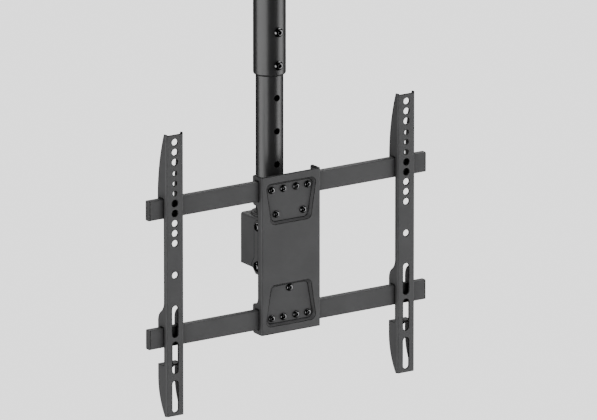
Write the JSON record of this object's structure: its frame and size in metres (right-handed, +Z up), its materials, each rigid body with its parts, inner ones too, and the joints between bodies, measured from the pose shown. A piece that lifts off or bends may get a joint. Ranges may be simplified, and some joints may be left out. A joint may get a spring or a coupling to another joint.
{
  "type": "tv ceiling mount",
  "caption": "Telescopic ceiling pole with a swivel hub, a tilting face plate, crossing rails and hooked arms that carry a flat screen.",
  "frame": {"origin": "centre of the ceiling plate's upper face, on the pole's axis", "axes": "+Z up into the ceiling along the pole, -Y out of the face plate towards the screen, +X to the right as the screen's viewer sees it from the front"},
  "size_m": [0.479, 0.12, 1.0797],
  "materials": {
    "powder_coat": "satin powder coat",
    "black_screw": "black oxide",
    "black_plastic": "matt"
  },
  "bodies": {
    "ceiling": {"ceiling_plate": "powder_coat", "pole_socket": "powder_coat", "socket_bolts": "black_screw", "socket_nuts": "black_screw", "outer_pole": "powder_coat", "height_screws": "black_screw", "pole_bush": "black_plastic"},
    "drop": {"inner_pole": "powder_coat", "guide_ring": "black_plastic", "pole_foot": "powder_coat", "swivel_glide": "black_plastic", "swivel_washer": "black_screw", "swivel_bolt": "black_screw", "swivel_nut": "black_screw"},
    "hub": {"hub_bracket": "powder_coat", "pivot_bolts": "black_screw", "pivot_nuts": "black_screw", "tilt_lock_bolts": "black_screw", "tilt_lock_nuts": "black_screw", "tilt_lock_washers": "black_screw", "friction_washers": "black_plastic"},
    "head": {"tilt_bracket": "powder_coat", "face_plate": "powder_coat", "upper_rail_screws": "black_screw", "lower_rail_screws": "black_screw", "bracket_screws": "black_screw", "upper_rail": "powder_coat", "lower_rail": "powder_coat", "upper_rail_caps": "black_plastic", "lower_rail_caps": "black_plastic"},
    "left_arm_body": {"left_arm": "powder_coat", "left_lock_screw": "black_screw"},
    "right_arm_body": {"right_arm": "powder_coat", "right_lock_screw": "black_screw"}
  },
  "joints": [
    {"name": "height_slide", "type": "slide", "parent": "ceiling", "child": "drop", "axis": [0, 0, 1], "range_m": [-0.3, 0.1]},
    {"name": "swivel", "type": "hinge", "parent": "drop", "child": "hub", "pos_m": [0, 0, -0.82], "axis": [0, 0, 1], "continuous": true},
    {"name": "tilt", "type": "hinge", "parent": "hub", "child": "head", "pos_m": [0, -0.02, -0.8307], "axis": [1, 0, 0], "range_deg": [-5, 15]},
    {"name": "left_arm_slide", "type": "slide", "parent": "head", "child": "left_arm_body", "axis": [1, 0, 0], "range_m": [-0.02, 0.13]},
    {"name": "right_arm_slide", "type": "slide", "parent": "head", "child": "right_arm_body", "axis": [1, 0, 0], "range_m": [-0.13, 0.02]}
  ]
}
